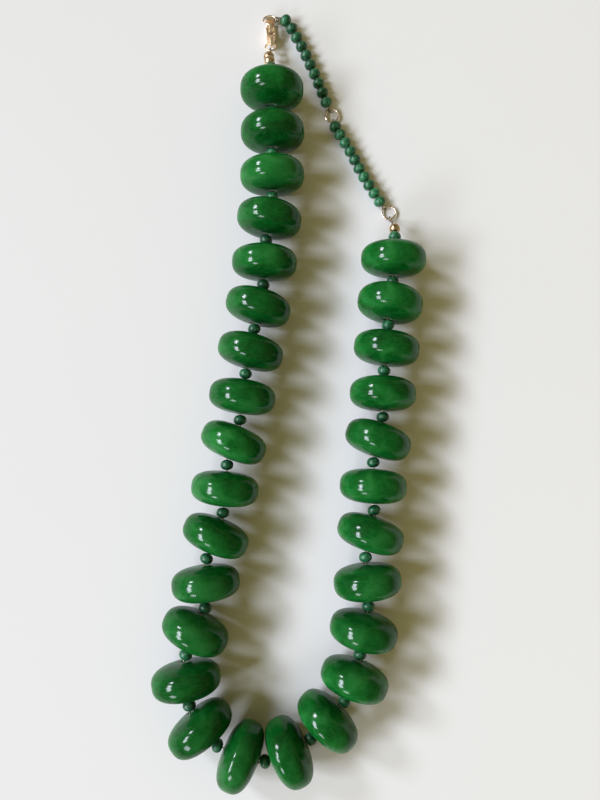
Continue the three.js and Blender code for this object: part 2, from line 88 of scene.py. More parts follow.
# Lobster clasp, counted along from the end of its tail and up from its straight back
CLASP_LENGTH = 10.2
CLASP_HEIGHT = 4.6
CLASP_THICKNESS = 3.2
NOSE_THICKNESS = 1.9
CLAW_WALL = 1.1
CLAW_HEEL = 0.8
CLAW_NOSE_BACK = 3.0
CLAW_NOSE_TOP = 2.1
GATE_LENGTH = 2.4
SLOT_WALL = 0.6
LUG_THICKNESS = 1.0
LUG_WALL = 0.55
LUG_ROOT = 0.5
LUG_HEIGHT = 2.4
LUG_HOLE = CLASP_RING_WIRE / 2 + 2 * LINK_PLAY
LUG_RADIUS = LUG_HOLE + LUG_WALL
LEVER_THICKNESS = 1.0
LEVER_ARM = 0.9
LEVER_ROOT = 0.9
ARM_ABOVE_PIVOT = 0.7
THUMB_NUB = 0.7
LEVER_PLAY = 0.3
PIN_DIAMETER = 0.8
PIN_PLAY = 0.1
CLAW_START = LUG_RADIUS + LUG_HOLE + LUG_ROOT
PIVOT_ALONG = CLAW_START + SLOT_WALL + LEVER_PLAY + LEVER_ROOT
PIVOT_HEIGHT = CLASP_HEIGHT - LEVER_ARM - ARM_ABOVE_PIVOT
CAVITY_START = PIVOT_ALONG + LEVER_ROOT + LEVER_PLAY
CAVITY_END = CLASP_LENGTH - CLAW_WALL
GATE_END = CAVITY_START + GATE_LENGTH


# Camera, floor and light. The camera's place is in millimetres and its turns are in radians.

CAMERA_PLACE = (-1.163, -30.107, 220.5)
CAMERA_TILT = 0.10
CAMERA_ROLL = -0.015
FOCAL_PIXELS = 700
FRAME_HEIGHT = 800
SENSOR = 24.0
NEAREST_SEEN = 5.0
FLOOR_REACH = 3000.0


def add_camera():
    camera = bpy.data.cameras.new("camera")
    camera.sensor_fit = "VERTICAL"
    camera.sensor_height = SENSOR
    camera.lens = SENSOR * FOCAL_PIXELS / FRAME_HEIGHT
    camera.clip_start = NEAREST_SEEN * MM
    holder = bpy.data.objects.new("camera", camera)
    turn = Matrix.Rotation(CAMERA_ROLL, 4, "Y") @ Matrix.Rotation(CAMERA_TILT, 4, "X")
    holder.matrix_world = Matrix.Translation(Vector(CAMERA_PLACE) * MM) @ turn
    scene.collection.objects.link(holder)
    scene.camera = holder


# Four panes of soft daylight to the left of the necklace: place in millimetres, and strength in watts
PANES = (
    ((-1600, 935, 1380), 26.0),
    ((-1370, -38, 1230), 18.4),
    ((-1215, -440, 1010), 15.3),
    ((-770, -1150, 830), 9.0),
)
PANE_SIZE = 400
DAYLIGHT = (0.83, 0.87, 1.0)

# The room is warm and dim beside the panes. Polished surfaces mirror it darker, and low views end in a wall.
ROOM_LIGHT = (0.36, 0.308, 0.126)
MIRRORED_ROOM = (0.2, 0.185, 0.1)
BACK_WALL = (0.74, 0.74, 0.73)


def add_light():
    for number, (place, watts) in enumerate(PANES, 1):
        light = bpy.data.lights.new(f"pane_{number}", "AREA")
        light.shape = "SQUARE"
        light.size = PANE_SIZE * MM
        light.energy = watts
        light.color = DAYLIGHT
        holder = bpy.data.objects.new(light.name, light)
        holder.location = Vector(place) * MM
        holder.rotation_euler = Vector(place).to_track_quat("Z", "Y").to_euler()
        holder.visible_camera = False
        scene.collection.objects.link(holder)
    world = bpy.data.worlds.new("room")
    world.use_nodes = True
    board, links = world.node_tree.nodes, world.node_tree.links
    rays, room = board.new("ShaderNodeLightPath").outputs, board["Background"]
    room.inputs["Color"].default_value = (*ROOM_LIGHT, 1)
    for ray, tone in (("Is Glossy Ray", MIRRORED_ROOM), ("Is Camera Ray", BACK_WALL)):
        other, choice = board.new("ShaderNodeBackground"), board.new("ShaderNodeMixShader")
        other.inputs["Color"].default_value = (*tone, 1)
        links.new(rays[ray], choice.inputs["Fac"])
        links.new(room.outputs[0], choice.inputs[1])
        links.new(other.outputs[0], choice.inputs[2])
        room = choice
    links.new(room.outputs[0], board["World Output"].inputs["Surface"])
    scene.world = world
    scene.view_settings.view_transform = "Standard"


# Materials: noise scales are per millimetre on the beads and per metre elsewhere, and tones are linear


class Board:
    """A node tree under construction, whose nodes are set and linked as they are made."""

    def node(self, kind, inputs=None, **properties):
        node = self.tree.nodes.new(kind)
        for name, value in properties.items():
            setattr(node, name, value)
        for name, value in (inputs or {}).items():
            if isinstance(value, bpy.types.NodeSocket):
                self.tree.links.new(value, node.inputs[name])
            else:
                node.inputs[name].default_value = value
        return node


class Finish(Board):
    """A material, with short names for the nodes that it uses often."""

    def __init__(self, name):
        self.material = bpy.data.materials.new(name)
        self.material.use_nodes = True
        self.tree = self.material.node_tree
        self.shader = self.tree.nodes["Principled BSDF"]

    def set(self, **values):
        for name, value in values.items():
            self.shader.inputs[name.replace("_", " ")].default_value = value

    def noise(self, place, scale, detail=3.0, distortion=0.0, roughness=0.5):
        inputs = {"Vector": place, "Scale": scale, "Detail": detail,
                  "Distortion": distortion, "Roughness": roughness}
        return self.node("ShaderNodeTexNoise", inputs).outputs["Fac"]

    def ramp(self, value, stops):
        node = self.node("ShaderNodeValToRGB", {"Fac": value})
        elements = node.color_ramp.elements
        while len(elements) < len(stops):
            elements.new(0.5)
        for element, (position, colour) in zip(elements, stops):
            element.position = position
            element.color = (*colour, 1)
        return node.outputs["Color"]

    def map(self, value, low, high):
        inputs = {"Value": value, "To Min": low, "To Max": high}
        return self.node("ShaderNodeMapRange", inputs).outputs["Result"]

    def link(self, output, name):
        self.tree.links.new(output, self.shader.inputs[name])

    def bump(self, height, strength, distance):
        inputs = {"Height": height, "Strength": strength, "Distance": distance}
        self.link(self.node("ShaderNodeBump", inputs).outputs["Normal"], "Normal")

    def own_place(self):
        """Place on the bead's own axes, in millimetres, shifted from bead to bead."""
        place = self.node("ShaderNodeAttribute", attribute_name="bead_place").outputs["Vector"]
        pick = self.node("ShaderNodeAttribute", attribute_name="bead_pick").outputs["Fac"]
        apart = self.node("ShaderNodeMath", {0: pick, 1: BEADS_APART}, operation="MULTIPLY").outputs[0]
        scaled = self.node("ShaderNodeVectorMath", {0: place, "Scale": 1 / MM}, operation="SCALE").outputs[0]
        return self.node("ShaderNodeVectorMath", {0: scaled, 1: apart}, operation="ADD").outputs[0], pick


def mix(finish, factor, first, second, blend="MIX"):
    """Blend of two colours. Of the node's sockets, the factor is 0, and the colours are 6 and 7."""
    node = finish.node("ShaderNodeMix", data_type="RGBA", blend_type=blend)
    for socket, value in ((0, factor), (6, first), (7, second)):
        if isinstance(value, bpy.types.NodeSocket):
            finish.tree.links.new(value, node.inputs[socket])
        else:
            node.inputs[socket].default_value = value if socket == 0 else (*value, 1)
    return node.outputs[2]


BEADS_APART = 80.0

STONE_TONES = ((0.3, (0.001, 0.046, 0.005)), (0.5, (0.002, 0.086, 0.01)), (0.66, (0.014, 0.132, 0.025)))
STONE_CLOUD = 0.11
STONE_WAVE = 0.3
VEIN_TONE = (0.025, 0.17, 0.04)
VEIN_SHOWS = ((0.47, (0, 0, 0)), (0.53, (0.26, 0.26, 0.26)), (0.6, (0, 0, 0)))
VEIN_STRETCH = (0.5, 0.5, 1.6)
VEIN_GRAIN = 0.5
STONE_SHADES = (0.74, 1.06)
SMALL_TONES = ((0.32, (0.003, 0.056, 0.019)), (0.55, (0.012, 0.106, 0.042)), (0.72, (0.06, 0.23, 0.1)))
SMALL_GRAIN = 1.1
SMALL_PITS = 3.0
SMALL_SHADES = (0.66, 1.3)
SMALL_GLOSS = (0.26, 0.5)
# Ramp stops of the metals' deep and bright tones. The deep patches are wear, and on the gold beads painted
# shade.
DEEP_STOP, BRIGHT = 0.35, 0.62
DULLER, GLOSSIER = 1.5, 0.6
PAPER_TONES = ((0.3, (0.98, 0.98, 0.985)), (0.7, (1.0, 1.0, 1.0)))
PAPER_EDGES = {"From Min": -0.2, "From Max": 0.2, "To Min": 0.52, "To Max": 0.71}
PAPER_PATCHES = 6.0
PAPER_TOOTH = 1800.0


def green_stone():
    """Polished, slightly cloudy green stone: a thin clear gloss over a soft body that light sinks into."""
    finish = Finish("green_stone_polished")
    finish.set(Roughness=0.4, IOR=1.06, Coat_Weight=0.46, Coat_Roughness=0.12, Coat_IOR=1.5,
               Subsurface_Weight=0.7, Subsurface_Scale=0.004, Subsurface_Radius=(0.3, 1.0, 0.35))
    place, pick = finish.own_place()
    body = finish.ramp(finish.noise(place, STONE_CLOUD, detail=4.0, distortion=0.8), STONE_TONES)
    streak_place = finish.node("ShaderNodeMapping", {"Vector": place, "Scale": VEIN_STRETCH}).outputs[0]
    streak = finish.noise(streak_place, VEIN_GRAIN, detail=6.0, distortion=1.6, roughness=0.62)
    veins = finish.ramp(streak, VEIN_SHOWS)
    veined = mix(finish, veins, body, VEIN_TONE)
    finish.link(mix(finish, 1.0, veined, finish.map(pick, *STONE_SHADES), "MULTIPLY"), "Base Color")
    finish.bump(finish.noise(place, STONE_WAVE, detail=1.0), strength=0.008, distance=0.0008)
    return finish.material


def small_stone():
    """Satin green of the small beads, with a fine grain."""
    finish = Finish("small_green_satin")
    finish.set(Roughness=0.36, IOR=1.5, Subsurface_Weight=0.2, Subsurface_Scale=0.0008,
               Subsurface_Radius=(0.35, 1.0, 0.5))
    place, pick = finish.own_place()
    grain = finish.noise(place, SMALL_GRAIN, detail=5.0, distortion=0.5)
    body = finish.ramp(grain, SMALL_TONES)
    finish.link(mix(finish, 1.0, body, finish.map(pick, *SMALL_SHADES), "MULTIPLY"), "Base Color")
    finish.link(finish.map(grain, *SMALL_GLOSS), "Roughness")
    finish.bump(finish.noise(place, SMALL_PITS, detail=4.0), strength=0.08, distance=0.0003)
    return finish.material


def metal(name, bright, deep, roughness, scale):
    """Polished plated metal with fine wear in its shine, and a deeper tone in noise patches: wear, and on the
    gold beads painted shade.
    """
    finish = Finish(name)
    finish.set(Metallic=1.0)
    place = finish.node("ShaderNodeTexCoord").outputs["Object"]
    wear_and_shade = finish.noise(place, scale, detail=5.0, distortion=0.4, roughness=0.6)
    # The deep tone in the patches is painted shade on the gold beads, and a worn tone on the other metals.
    finish.link(finish.ramp(wear_and_shade, ((DEEP_STOP, deep), (BRIGHT, bright))), "Base Color")
    finish.link(finish.map(wear_and_shade, DULLER * roughness, GLOSSIER * roughness), "Roughness")
    finish.bump(finish.noise(place, 2 * scale, detail=2.0), strength=0.25, distance=0.0002)
    return finish.material


def floor_paper():
    """Plain pale sheet with a barely visible tooth, a little paler away from the light."""
    finish = Finish("pale_sheet")
    finish.set(Roughness=0.85)
    place = finish.node("ShaderNodeTexCoord").outputs["Object"]
    paper = finish.ramp(finish.noise(place, PAPER_PATCHES), PAPER_TONES)
    across = finish.node("ShaderNodeSeparateXYZ", {0: place}).outputs["X"]
    depth = finish.node("ShaderNodeMapRange", {"Value": across, **PAPER_EDGES}).outputs["Result"]
    finish.link(mix(finish, 1.0, paper, depth, "MULTIPLY"), "Base Color")
    finish.bump(finish.noise(place, PAPER_TOOTH, detail=2.0), strength=0.05, distance=0.0003)
    return finish.material


# Geometry Nodes trees

SAME_PLACE = 1e-6


class Recipe(Board):
    """A Geometry Nodes tree with named inputs."""

    def __init__(self, name, inputs):
        self.tree = bpy.data.node_groups.new(name, "GeometryNodeTree")
        self.tree.interface.new_socket("Geometry", in_out="INPUT", socket_type="NodeSocketGeometry")
        for label, kind in inputs.items():
            self.tree.interface.new_socket(label, in_out="INPUT", socket_type=f"NodeSocket{kind}")
        self.tree.interface.new_socket("Geometry", in_out="OUTPUT", socket_type="NodeSocketGeometry")
        self.given = self.node("NodeGroupInput").outputs

    def math(self, operation, *values):
        return self.node("ShaderNodeMath", dict(enumerate(values)), operation=operation).outputs[0]

    def attribute(self, name, kind):
        node = self.node("GeometryNodeInputNamedAttribute", {"Name": name}, data_type=kind)
        return next(s for s in node.outputs if s.enabled and s.name == "Attribute")

    def store(self, geometry, name, value, kind, domain="POINT"):
        node = self.node("GeometryNodeStoreNamedAttribute",
                         {"Geometry": geometry, "Name": name}, data_type=kind, domain=domain)
        socket = next(s for s in node.inputs if s.enabled and s.name == "Value")
        self.tree.links.new(value, socket)
        return node.outputs["Geometry"]

    def spread(self, geometry, seed):
        """Instances of a shape on the points, along the points' axes, turned at random round them."""
        aimed = self.node("FunctionNodeAlignRotationToVector",
                          {"Vector": self.attribute("axis", "FLOAT_VECTOR")}, axis="Z").outputs[0]
        spin = self.node("FunctionNodeRandomValue", {"Seed": seed}, data_type="FLOAT")
        for socket in spin.inputs:
            if socket.enabled and socket.name == "Max":
                socket.default_value = 2 * math.pi
        turn = self.node("ShaderNodeCombineXYZ", {"Z": next(s for s in spin.outputs if s.enabled)}).outputs[0]
        turned = self.node("FunctionNodeRotateRotation",
                           {"Rotation": aimed, "Rotate By": turn}, rotation_space="LOCAL").outputs[0]
        placed = self.node("GeometryNodeInstanceOnPoints",
                           {"Points": self.given["Geometry"], "Instance": geometry, "Rotation": turned})
        pick = self.node("FunctionNodeRandomValue", {"Seed": seed}, data_type="FLOAT")
        value = next(s for s in pick.outputs if s.enabled)
        return self.store(placed.outputs[0], "bead_pick", value, "FLOAT", "INSTANCE")

    def finish(self, geometry):
        whole = self.node("GeometryNodeRealizeInstances", {"Geometry": geometry}).outputs[0]
        smooth = self.node("GeometryNodeSetShadeSmooth", {"Geometry": whole}).outputs[0]
        coloured = self.node("GeometryNodeSetMaterial",
                             {"Geometry": smooth, "Material": self.given["Material"]}).outputs[0]
        self.node("NodeGroupOutput", {"Geometry": coloured})
        return self.tree


def bead_recipe():
    """Beads of superellipse section, bored through, one on each point and along that point's axis."""
    recipe = Recipe("threaded_beads", {
        "Diameter": "Float", "Length": "Float", "Roundness": "Float", "Bore": "Float",
        "Sides": "Int", "Bands": "Int", "Seed": "Int", "Material": "Material"})
    given, math_ = recipe.given, recipe.math
    sheet = recipe.node("GeometryNodeMeshGrid", {
        "Size X": 1.0, "Size Y": 1.0,
        "Vertices X": math_("ADD", given["Sides"], 1.0),
        "Vertices Y": math_("ADD", given["Bands"], 2.0)})
    start = recipe.node("GeometryNodeInputPosition").outputs[0]
    flat = recipe.node("ShaderNodeSeparateXYZ", {0: start}).outputs
    row = math_("MULTIPLY", math_("ADD", flat["Y"], 0.5), math_("ADD", given["Bands"], 1.0))
    outside = math_("LESS_THAN", row, math_("ADD", given["Bands"], 0.5))
    row = math_("MULTIPLY", row, outside)
    bore_share = math_("DIVIDE", given["Bore"], given["Diameter"])
    mouth = math_("ARCSINE", math_("POWER", bore_share, math_("DIVIDE", given["Roundness"], 2.0)))
    sweep = math_("SUBTRACT", math.pi, math_("MULTIPLY", mouth, 2.0))
    angle = math_("MULTIPLY_ADD", math_("DIVIDE", row, given["Bands"]), sweep, mouth)
    power = math_("DIVIDE", 2.0, given["Roundness"])
    across = math_("POWER", math_("SINE", angle), power)
    lean = math_("COSINE", angle)
    along = math_("MULTIPLY", math_("SIGN", lean), math_("POWER", math_("ABSOLUTE", lean), power))
    radius = math_("MULTIPLY", across, math_("DIVIDE", given["Diameter"], 2.0))
    turn = math_("MULTIPLY", math_("ADD", flat["X"], 0.5), -2 * math.pi)
    place = recipe.node("ShaderNodeCombineXYZ", {
        "X": math_("MULTIPLY", radius, math_("COSINE", turn)),
        "Y": math_("MULTIPLY", radius, math_("SINE", turn)),
        "Z": math_("MULTIPLY", along, math_("DIVIDE", given["Length"], 2.0))}).outputs[0]
    rolled = recipe.node("GeometryNodeSetPosition", {"Geometry": sheet.outputs["Mesh"], "Position": place})
    closed = recipe.node("GeometryNodeMergeByDistance",
                         {"Geometry": rolled.outputs[0], "Distance": SAME_PLACE})
    own = recipe.node("GeometryNodeInputPosition").outputs[0]
    bead = recipe.store(closed.outputs[0], "bead_place", own, "FLOAT_VECTOR")
    return recipe.finish(recipe.spread(bead, given["Seed"]))


def wire_recipe():
    """Round wire along the edges of a path."""
    recipe = Recipe("drawn_wire", {"Diameter": "Float", "Sides": "Int", "Material": "Material"})
    path = recipe.node("GeometryNodeMeshToCurve", {0: recipe.given["Geometry"]}).outputs[0]
    radius = recipe.math("DIVIDE", recipe.given["Diameter"], 2.0)
    section = recipe.node("GeometryNodeCurvePrimitiveCircle",
                          {"Resolution": recipe.given["Sides"], "Radius": radius}).outputs["Curve"]
    tube = recipe.node("GeometryNodeCurveToMesh",
                       {"Curve": path, "Profile Curve": section, "Fill Caps": True}).outputs[0]
    return recipe.finish(tube)


def ring_recipe():
    """Jump rings of round wire, each bent from one cut length, so that its ends meet at a fine gap."""
    recipe = Recipe("jump_rings", {
        "Diameter": "Float", "Wire": "Float", "Steps": "Int", "Sides": "Int", "Cut": "Float",
        "Seed": "Int", "Material": "Material"})
    given, math_ = recipe.given, recipe.math
    radius = math_("DIVIDE", math_("SUBTRACT", given["Diameter"], given["Wire"]), 2.0)
    sweep = math_("SUBTRACT", 2 * math.pi, math_("DIVIDE", given["Cut"], radius))
    bend = recipe.node("GeometryNodeCurveArc", {
        "Resolution": given["Steps"], "Radius": radius, "Sweep Angle": sweep}).outputs["Curve"]
    section = recipe.node("GeometryNodeCurvePrimitiveCircle", {
        "Resolution": given["Sides"], "Radius": math_("DIVIDE", given["Wire"], 2.0)}).outputs["Curve"]
    ring = recipe.node("GeometryNodeCurveToMesh",
                       {"Curve": bend, "Profile Curve": section, "Fill Caps": True}).outputs[0]
    return recipe.finish(recipe.spread(ring, given["Seed"]))


def grow(name, mesh, recipe, **values):
    """The plain mesh that a recipe makes from a mesh of points or edges."""
    holder = bpy.data.objects.new(name, mesh)
    scene.collection.objects.link(holder)
    modifier = holder.modifiers.new("recipe", "NODES")
    modifier.node_group = recipe
    for item in recipe.interface.items_tree:
        if item.in_out == "INPUT" and item.name in values:
            modifier[item.identifier] = values[item.name]
    holder.update_tag()
    settled = holder.evaluated_get(bpy.context.evaluated_depsgraph_get())
    result = bpy.data.meshes.new_from_object(settled)
    holder.modifiers.clear()
    holder.data = result
    result.name = name
    return holder


def points_mesh(name, stations):
    """Points in metres, each with the axis of what is threaded there."""
    mesh = bpy.data.meshes.new(name)
    mesh.from_pydata([centre * MM for centre, _ in stations], [], [])
    axes = mesh.attributes.new("axis", "FLOAT_VECTOR", "POINT")
    axes.data.foreach_set("vector", [value for _, axis in stations for value in axis])
    return mesh


def path_mesh(name, points):
    mesh = bpy.data.meshes.new(name)
    links = [(index, index + 1) for index in range(len(points) - 1)]
    mesh.from_pydata([point * MM for point in points], links, [])
    return mesh


def settle(piece, slot, *replaced, body="necklace"):
    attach(piece, body)
    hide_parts(*replaced)


# Where everything is, from the frame

PLACE_DECIMALS = 4


def stance(name):
    """Middle of a CAD bead or ring, in millimetres, and its axis: the one way in which its spread differs."""
    found = np.array([vertex.co for vertex in nodes[name].data.vertices]) / MM
    found = np.unique(np.round(found, PLACE_DECIMALS), axis=0)
    middle = found.mean(0)
    spreads, ways = np.linalg.eigh(np.cov((found - middle).T))
    odd = 0 if spreads[1] - spreads[0] > spreads[2] - spreads[1] else 2
    return Vector(middle), Vector(ways[:, odd])


def smooth_line(points, steps=60):
    """Many points along a smooth curve through a few, spaced by the square roots of their gaps."""
    given = [np.array(point, float) for point in points]
    given = [2 * given[0] - given[1], *given, 2 * given[-1] - given[-2]]
    line = []
    for before, start, end, after in zip(given, given[1:], given[2:], given[3:]):
        gaps = [math.sqrt(np.linalg.norm(b - a)) for a, b in ((before, start), (start, end), (end, after))]
        leave = ((start - before) / gaps[0] - (end - before) / (gaps[0] + gaps[1])
                 + (end - start) / gaps[1]) * gaps[1]
        arrive = ((end - start) / gaps[1] - (after - start) / (gaps[1] + gaps[2])
                  + (after - end) / gaps[2]) * gaps[1]
        for step in range(steps):
            t = step / steps
            line.append(start + leave * t + (3 * (end - start) - 2 * leave - arrive) * t * t
                        + (2 * (start - end) + leave + arrive) * t ** 3)
    line.append(given[-2])
    return np.array(line)


class Line:
    """A curve that is measured along its length."""

    def __init__(self, points):
        self.points = smooth_line(points)
        lengths = np.linalg.norm(np.diff(self.points, axis=0), axis=1)
        self.along = np.concatenate(([0], np.cumsum(lengths)))
        self.length = self.along[-1]

    def at(self, distance):
        return Vector([np.interp(distance, self.along, self.points[:, axis]) for axis in range(3)])

    def station(self, distance):
        step = 0.05
        ahead = min(distance + step, self.length)
        return self.at(distance), (self.at(ahead) - self.at(max(distance - step, 0))).normalized()


def ends_of(station, length):
    centre, axis = station
    return [centre - axis * length / 2, centre + axis * length / 2]


# The two wires of an eye's neck are pressed together a little, and the loop opens where they part
NECK_SQUEEZE = 0.9
NECK_FLARE = 2.2
EYE_STEPS = 40


def eye_loop(eye, toward):
    """Wire round an eye, from its neck and back to it, seen from what the wire comes out of."""
    centre, axis = eye
    out = toward - centre
    out = (out - axis * out.dot(axis)).normalized()
    side = axis.cross(out)
    opening = math.asin(NECK_SQUEEZE * WIRE / 2 / EYE_RADIUS) * NECK_FLARE
    turns = np.linspace(opening, 2 * math.pi - opening, EYE_STEPS)
    return [centre + (out * math.cos(turn) + side * math.sin(turn)) * EYE_RADIUS for turn in turns]


# Lobster clasp

CLASP_VOXEL = 0.06
POLISH_SHARE = 0.5
POLISH_PASSES = 7
CURVE_STEPS = 14
OVERCUT = 0.1
HEEL_SHARE = 0.7
NUB_SHARE = 0.4


def outline(start, *moves):
    """Closed outline of straight moves to a point and of bent ones by way of a control point."""
    points = [Vector(start)]
    for *control, end in moves:
        end = Vector(end)
        if control:
            first, bend = points[-1], Vector(control[0])
            for step in range(1, CURVE_STEPS):
                t = step / CURVE_STEPS
                points.append(first * (1 - t) ** 2 + bend * 2 * t * (1 - t) + end * t * t)
        points.append(end)
    return points[:-1] if (points[-1] - points[0]).length < SAME_PLACE else points


def arc(radius, start, stop, centre=(0, 0)):
    turns = np.linspace(start, stop, 3 * CURVE_STEPS)
    return [Vector(centre) + Vector((math.cos(turn), math.sin(turn))) * radius for turn in turns]


def slab(name, points, thickness, upright=False):
    """Plate of an outline, centred on its thickness. An upright one has its outline seen from above."""
    form = bmesh.new()
    sides = []
    for level in (-thickness / 2, thickness / 2):
        places = [(x, level, -y) if upright else (x, y, level) for x, y in points]
        sides.append([form.verts.new(place) for place in places])
    form.faces.new(reversed(sides[0]))
    form.faces.new(sides[1])
    for index in range(len(points)):
        after = (index + 1) % len(points)
        form.faces.new((sides[0][index], sides[0][after], sides[1][after], sides[1][index]))
    bmesh.ops.recalc_face_normals(form, faces=form.faces)
    mesh = bpy.data.meshes.new(name)
    form.to_mesh(mesh)
    form.free()
    plate = bpy.data.objects.new(name, mesh)
    scene.collection.objects.link(plate)
    return plate


def block(name, from_along, to_along, from_height, to_height, thickness):
    low = [Vector((along, from_height)) for along in (from_along, to_along)]
    high = [Vector((along, to_height)) for along in (to_along, from_along)]
    return slab(name, low + high, thickness)


def carve(whole, *steps):
    """Applies boolean steps, then rounds every edge as casting and polishing do, and returns the mesh."""
    for operation, tool in steps:
        modifier = whole.modifiers.new(operation, "BOOLEAN")
        modifier.operation = operation
        modifier.solver = "EXACT"
        modifier.object = tool
    remesh = whole.modifiers.new("cast", "REMESH")
    remesh.mode = "VOXEL"
    remesh.voxel_size = CLASP_VOXEL
    polish = whole.modifiers.new("polish", "SMOOTH")
    polish.factor = POLISH_SHARE
    polish.iterations = POLISH_PASSES
    bpy.context.view_layer.update()
    settled = whole.evaluated_get(bpy.context.evaluated_depsgraph_get())
    result = bpy.data.meshes.new_from_object(settled)
    for _, tool in steps:
        bpy.data.objects.remove(tool)
    bpy.data.objects.remove(whole)
    return result


def claw_outline(inset):
    start, end = CLAW_START + inset, CLASP_LENGTH - inset
    low, high, middle = inset, CLASP_HEIGHT - inset, CLASP_HEIGHT / 2
    return outline(
        (start, middle),
        ((start, low), (start + CLAW_HEEL, low)),
        ((CLASP_LENGTH - CLAW_NOSE_BACK, low),),
        ((end, low), (end, middle)),
        ((end, high), (CLASP_LENGTH - CLAW_NOSE_TOP, high)),
        ((start + CLAW_HEEL, high),),
        ((start, high), (start, middle)))


def claw_plan():
    side, nose = CLASP_THICKNESS / 2, NOSE_THICKNESS / 2
    heel, tip = CLAW_START - OVERCUT, CLASP_LENGTH + OVERCUT
    return outline(
        (heel, -HEEL_SHARE * side),
        ((CLAW_START, -side), (PIVOT_ALONG, -side)),
        ((GATE_END, -side), (CAVITY_END, -nose)),
        ((CLASP_LENGTH, -nose), (tip, 0)),
        ((CLASP_LENGTH, nose), (CAVITY_END, nose)),
        ((GATE_END, side), (PIVOT_ALONG, side)),
        ((CLAW_START, side), (heel, HEEL_SHARE * side)))


def claw_mesh():
    wide, tall = 2 * CLASP_THICKNESS, 2 * CLASP_HEIGHT
    hollow = slab("hollow", claw_outline(CLAW_WALL), wide)
    front = block("front", CAVITY_START, CLASP_LENGTH, 0, CLASP_HEIGHT, 2 * wide)
    keep = hollow.modifiers.new("front", "BOOLEAN")
    keep.operation, keep.solver, keep.object = "INTERSECT", "EXACT", front
    pin = slab("pin", arc(PIN_DIAMETER / 2, 0, 2 * math.pi, (PIVOT_ALONG, PIVOT_HEIGHT))[:-1],
               CLASP_THICKNESS - LEVER_PLAY)
    lug_end = CLAW_START + SLOT_WALL / 2
    lug_points = arc(LUG_RADIUS, math.pi / 2, 3 * math.pi / 2, (LUG_RADIUS, LUG_HEIGHT))
    lug_points += [Vector((lug_end, LUG_HEIGHT - LUG_RADIUS)), Vector((lug_end, LUG_HEIGHT + LUG_RADIUS))]
    hole = slab("hole", arc(LUG_HOLE, 0, 2 * math.pi, (LUG_RADIUS, LUG_HEIGHT))[:-1], wide)
    mesh = carve(
        slab("claw", claw_outline(0), CLASP_THICKNESS),
        ("INTERSECT", slab("plan", claw_plan(), 2 * tall, upright=True)),
        ("DIFFERENCE", hollow),
        ("DIFFERENCE", block("gate", CAVITY_START, GATE_END, CLASP_HEIGHT / 2, tall, wide)),
        ("DIFFERENCE", block("slot", CLAW_START + SLOT_WALL, CAVITY_START + OVERCUT,
                             PIVOT_HEIGHT - LEVER_ROOT - LEVER_PLAY, tall, LEVER_THICKNESS + 2 * LEVER_PLAY)),
        ("UNION", pin),
        ("UNION", slab("lug", lug_points, LUG_THICKNESS)),
        ("DIFFERENCE", hole))
    bpy.data.objects.remove(front)
    return mesh


def lever_mesh():
    reach = GATE_END - LEVER_PLAY - PIVOT_ALONG
    top = CLASP_HEIGHT - PIVOT_HEIGHT
    low = top - LEVER_ARM
    points = arc(LEVER_ROOT, math.pi, 2 * math.pi + math.asin(low / LEVER_ROOT))
    points += arc(reach, math.asin(low / reach), math.asin(top / reach))
    points += outline(
        (LEVER_ROOT, top),
        ((NUB_SHARE * LEVER_ROOT, top), (0, top + THUMB_NUB)),
        ((-LEVER_ROOT, top + THUMB_NUB), (-LEVER_ROOT, 0)))[:-1]
    points = [point + Vector((PIVOT_ALONG, PIVOT_HEIGHT)) for point in points]
    bore = arc(PIN_DIAMETER / 2 + PIN_PLAY, 0, 2 * math.pi, (PIVOT_ALONG, PIVOT_HEIGHT))[:-1]
    lever = slab("lever", points, LEVER_THICKNESS)
    return carve(lever, ("DIFFERENCE", slab("bore", bore, 2 * LEVER_THICKNESS)))


def add_clasp_piece(name, mesh, clasp_frame, finish):
    mesh.transform(Matrix.Scale(MM, 4) @ clasp_frame)
    mesh.materials.clear()
    mesh.materials.append(finish)
    mesh.polygons.foreach_set("use_smooth", [True] * len(mesh.polygons))
    piece = bpy.data.objects.new(name, mesh)
    scene.collection.objects.link(piece)
    return piece


# The necklace

CLASP_BARE_WIRE = 0.7
EXTENDER_BARE_WIRE = 1.3
EXTENDER_BEAD_GAP = 1.35
STRING_PLAY = 0.25
RING_CUT = 0.05
UP = Vector((0, 0, 1))

add_camera()
add_light()
stone, satin = green_stone(), small_stone()
gold = metal("polished_gold", bright=(1.0, 0.85, 0.63), deep=(0.92, 0.62, 0.38), roughness=0.34, scale=600)
# Gold beads: the very dark brown deep tone is painted shade, patches that stand in for the beads' shaded
# side.
bead_gold = metal("bead_gold", bright=(1.0, 0.8, 0.52), deep=(0.34, 0.2, 0.09), roughness=0.28, scale=450)
rose = metal("rose_gold_wire", bright=(1.0, 0.85, 0.72), deep=(0.9, 0.67, 0.52), roughness=0.22, scale=900)
steel = metal("beading_wire", bright=(0.34, 0.29, 0.2), deep=(0.18, 0.14, 0.09), roughness=0.3, scale=1500)

floor_mesh = bpy.data.meshes.new("floor")
corners = [Vector((x, y, 0)) * FLOOR_REACH * MM for x, y in ((-1, -1), (1, -1), (1, 1), (-1, 1))]
floor_mesh.from_pydata(corners, [], [range(len(corners))])
floor_mesh.materials.append(floor_paper())
floor = bpy.data.objects.new("floor", floor_mesh)
scene.collection.objects.link(floor)

bead_tree, wire_tree, ring_tree = bead_recipe(), wire_recipe(), ring_recipe()

